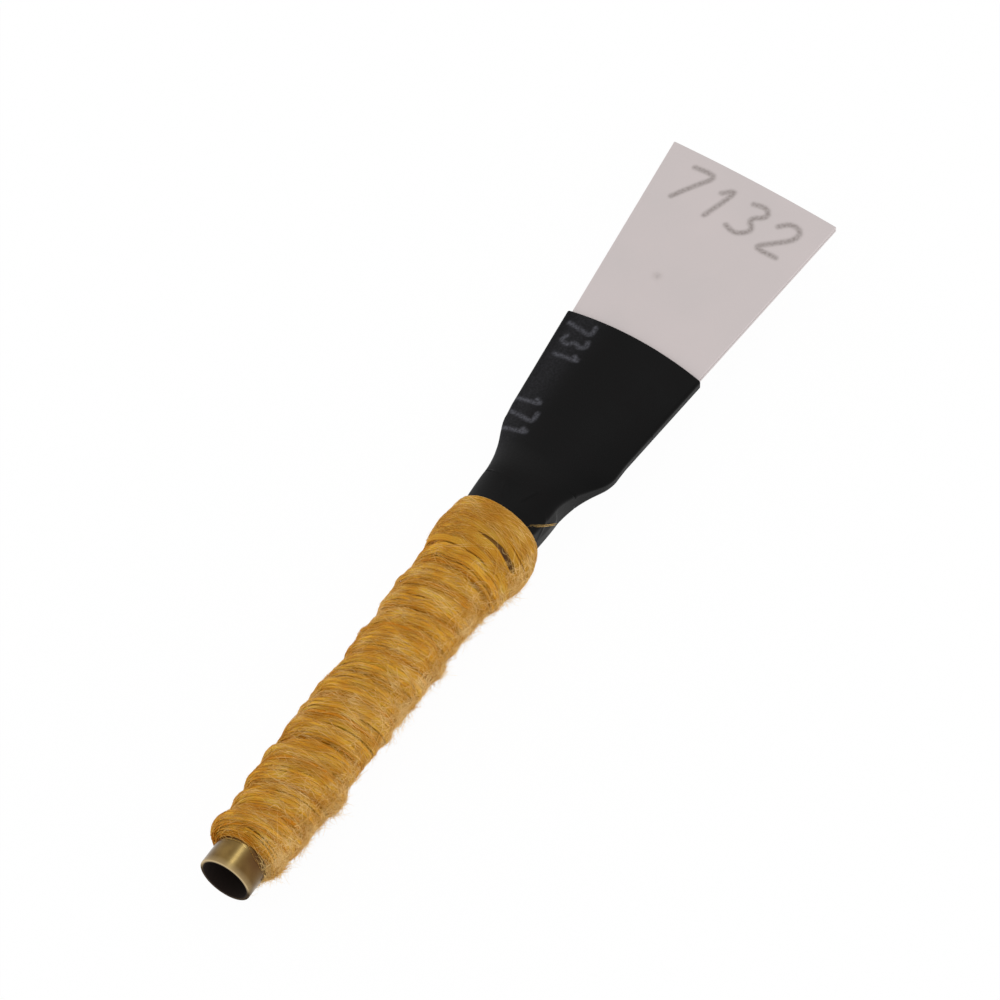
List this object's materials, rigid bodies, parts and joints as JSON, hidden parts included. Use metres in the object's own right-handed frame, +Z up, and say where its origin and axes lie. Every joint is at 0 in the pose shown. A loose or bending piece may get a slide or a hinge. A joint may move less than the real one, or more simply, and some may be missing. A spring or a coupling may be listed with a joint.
{
  "type": "bagpipe drone reed",
  "caption": "Plastic double reed for a bagpipe drone: flared blades in a black shrunk sleeve on a brass staple lapped with waxed hemp.",
  "frame": {"origin": "under the middle of the reed's length, on the surface that it lies on", "axes": "+X from the open seat end to the blades' tip, +Y across the blades, +Z up through the upper blade"},
  "size_m": [0.0928, 0.0186, 0.0102],
  "materials": {
    "brass": "drawn tube, lightly tarnished",
    "white_plastic": "smooth sheet, satin",
    "black_sleeve": "heat-shrunk, satin",
    "waxed_hemp": "waxed yellow thread, hairy",
    "lashing_thread": "waxed thread"
  },
  "bodies": {
    "root": {"staple": "brass", "blade_lashing": "lashing_thread", "shrink_sleeve": "black_sleeve", "hemp_collar": "waxed_hemp", "hemp_lapping": "waxed_hemp", "hemp_core": "waxed_hemp"},
    "upper_blade": {"blade_upper": "white_plastic"},
    "lower_blade": {"blade_lower": "white_plastic"}
  },
  "joints": [
    {"name": "upper_blade_flex", "type": "hinge", "parent": "root", "child": "upper_blade", "pos_m": [0.0042, 0, 0.0065], "axis": [0, 1, 0], "range_deg": [-0.1, 0.05], "stiffness_Nm_per_rad": 0.15},
    {"name": "lower_blade_flex", "type": "hinge", "parent": "root", "child": "lower_blade", "pos_m": [0.0042, 0, 0.0032], "axis": [0, -1, 0], "range_deg": [-0.1, 0.05], "stiffness_Nm_per_rad": 0.15}
  ],
  "couplings": [
    {"joint": "lower_blade_flex", "follows": "upper_blade_flex", "ratio": 1}
  ]
}
